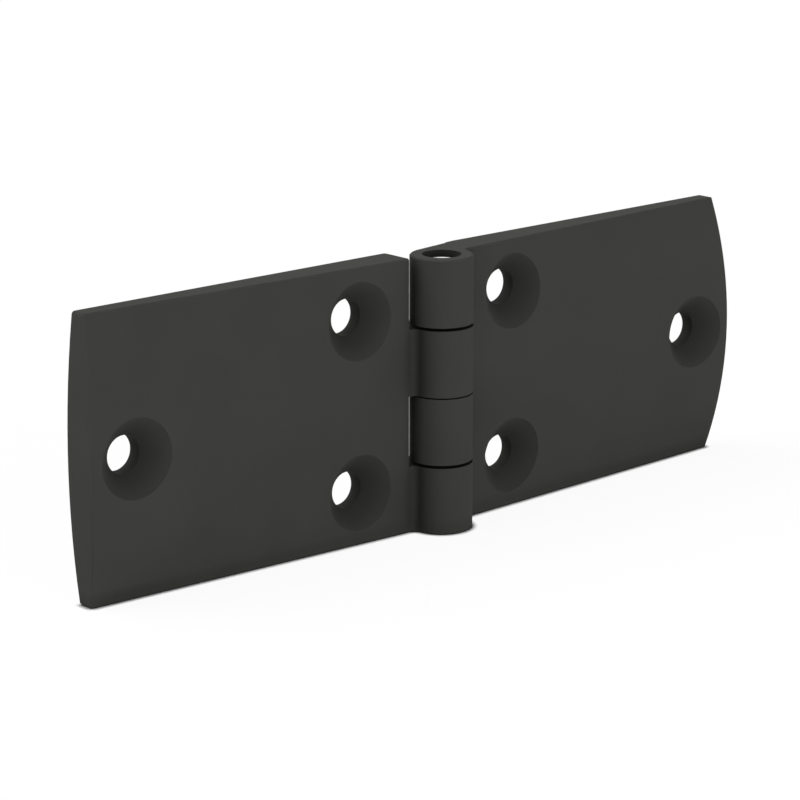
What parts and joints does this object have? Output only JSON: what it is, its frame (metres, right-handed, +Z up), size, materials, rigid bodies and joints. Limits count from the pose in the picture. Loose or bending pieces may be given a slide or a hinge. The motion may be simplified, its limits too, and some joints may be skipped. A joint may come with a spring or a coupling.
{
  "type": "back flap hinge",
  "caption": "Long cast back flap hinge with interleaved knuckles on a steel pin, crowned leaves with bowed ends and countersunk screw holes.",
  "frame": {"origin": "middle of the base of the bounding box, under the barrel", "axes": "+X along the open hinge towards the right leaf, +Y from the front to the mounting face, +Z up along the pin"},
  "size_m": [0.122, 0.0102, 0.04],
  "materials": {
    "coated_casting": "satin black powder coat on a zinc casting",
    "pin_steel": "bright turned steel"
  },
  "bodies": {
    "left_side": {"left_leaf": "coated_casting", "hinge_pin": "pin_steel"},
    "right_side": {"right_leaf": "coated_casting"}
  },
  "joints": [
    {"name": "leaf_swing", "type": "hinge", "parent": "left_side", "child": "right_side", "pos_m": [0, -0.00055, 0.02], "axis": [0, 0, -1], "range_deg": [-90, 180]}
  ]
}
